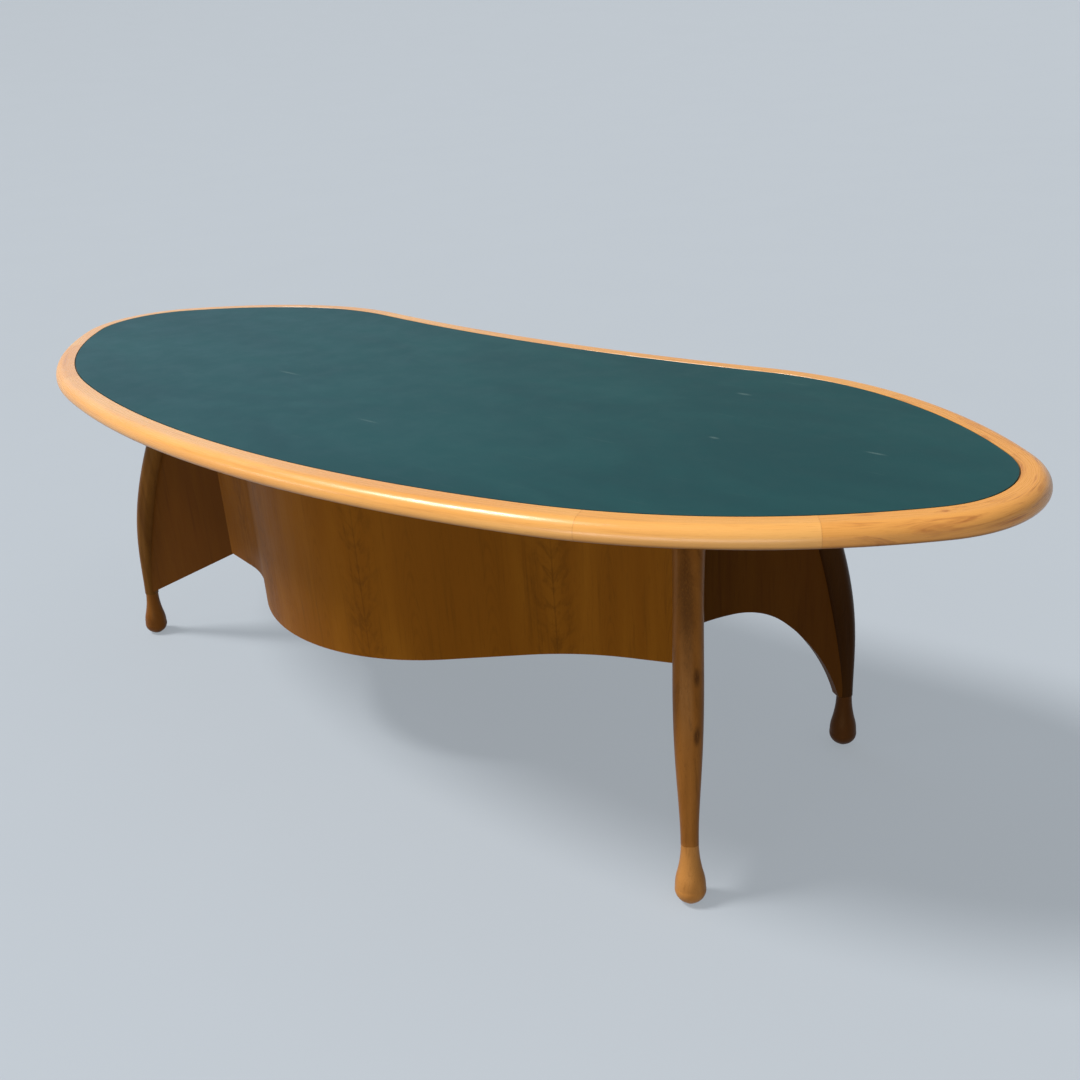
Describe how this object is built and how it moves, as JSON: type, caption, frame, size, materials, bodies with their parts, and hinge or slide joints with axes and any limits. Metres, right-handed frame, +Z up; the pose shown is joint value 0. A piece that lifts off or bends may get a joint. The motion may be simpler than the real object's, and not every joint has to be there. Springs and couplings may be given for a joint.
{
  "type": "executive desk",
  "caption": "Large kidney-shaped desk with a dark green writing inlay in a rounded wooden rim, on a waved bent-ply front panel with leaning legs on teardrop feet.",
  "frame": {"origin": "on the floor below the middle of the top", "axes": "+X along the length of the top, to the right seen from the front; +Y from the waved front to the sitter; +Z up"},
  "size_m": [2.4984, 0.9568, 0.72],
  "materials": {
    "inlay": "dark green, faintly mottled sheen",
    "core_board": "raw board",
    "rim_wood": "lacquered solid wood",
    "wave_veneer": "lacquered veneer, grain upright",
    "fin_veneer": "lacquered veneer, grain upright",
    "leg_wood": "lacquered solid wood, glossy",
    "foot_wood": "lighter turned wood",
    "inner_wood": "raw wood",
    "glide_plastic": "nylon",
    "steel": "zinc plated"
  },
  "bodies": {
    "root": {"cleat_screws": "steel", "fin_back_left": "fin_veneer", "fin_back_right": "fin_veneer", "fin_front_left": "fin_veneer", "fin_front_right": "fin_veneer", "floor_glides": "glide_plastic", "foot_back_left": "foot_wood", "foot_back_right": "foot_wood", "foot_front_left": "foot_wood", "foot_front_right": "foot_wood", "foot_studs": "steel", "leg_back_left": "leg_wood", "leg_back_right": "leg_wood", "leg_front_left": "leg_wood", "leg_front_right": "leg_wood", "leg_plates": "steel", "leg_screws": "steel", "plate_screws": "steel", "post_dowels": "inner_wood", "post_left": "inner_wood", "post_right": "inner_wood", "rim_back": "rim_wood", "rim_back_end_left": "rim_wood", "rim_back_end_right": "rim_wood", "rim_dowels": "inner_wood", "rim_front": "rim_wood", "rim_front_end_left": "rim_wood", "rim_front_end_right": "rim_wood", "rim_shoulder_left": "rim_wood", "rim_shoulder_right": "rim_wood", "rim_tip_left": "rim_wood", "rim_tip_right": "rim_wood", "top_core": "core_board", "wave_cleat": "inner_wood", "wave_panel": "wave_veneer", "writing_inlay": "inlay"}
  },
  "joints": []
}
